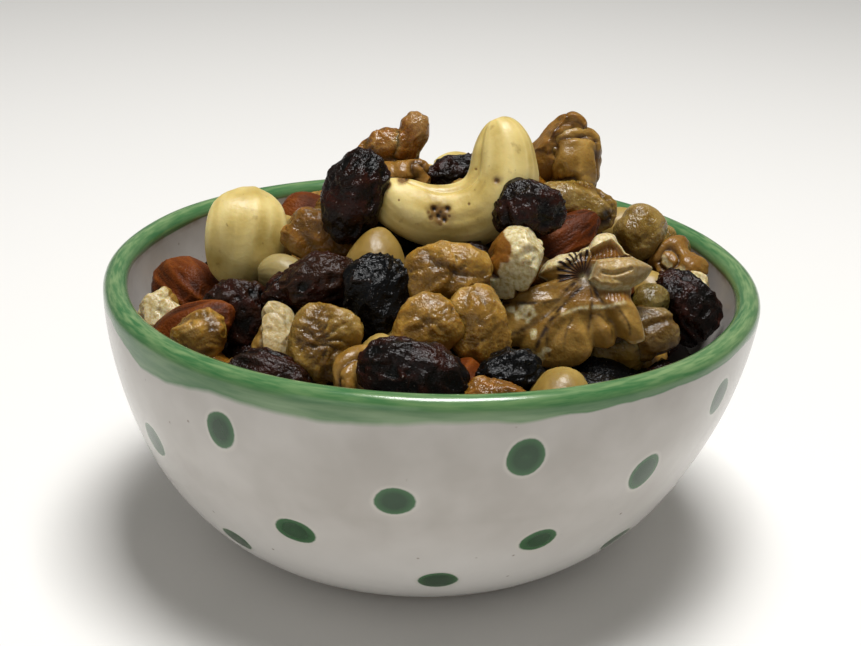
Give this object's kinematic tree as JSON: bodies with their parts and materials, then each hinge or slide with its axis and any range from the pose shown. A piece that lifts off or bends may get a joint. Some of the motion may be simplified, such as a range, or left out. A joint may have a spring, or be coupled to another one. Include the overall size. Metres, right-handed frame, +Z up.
{
  "type": "bowl of trail mix",
  "caption": "Small hand-made ceramic bowl with a painted rim and spots, heaped with trail mix of raisins, sultanas, cashews, almonds, hazelnuts and walnuts.",
  "frame": {"origin": "on the surface that the bowl stands on, under the middle of its rim", "axes": "+Z up out of the bowl; the picture's viewer stands at -Y and +X is to the viewer's right"},
  "size_m": [0.1196, 0.1204, 0.0791],
  "materials": {
    "glazed_bowl": "glossy white glaze with a green painted rim and green spots",
    "trail_mix": "dried fruit and nuts, satin to glossy, dark brown to cream"
  },
  "bodies": {
    "root": {"bowl": "glazed_bowl", "trail_mix": "trail_mix"}
  },
  "joints": []
}
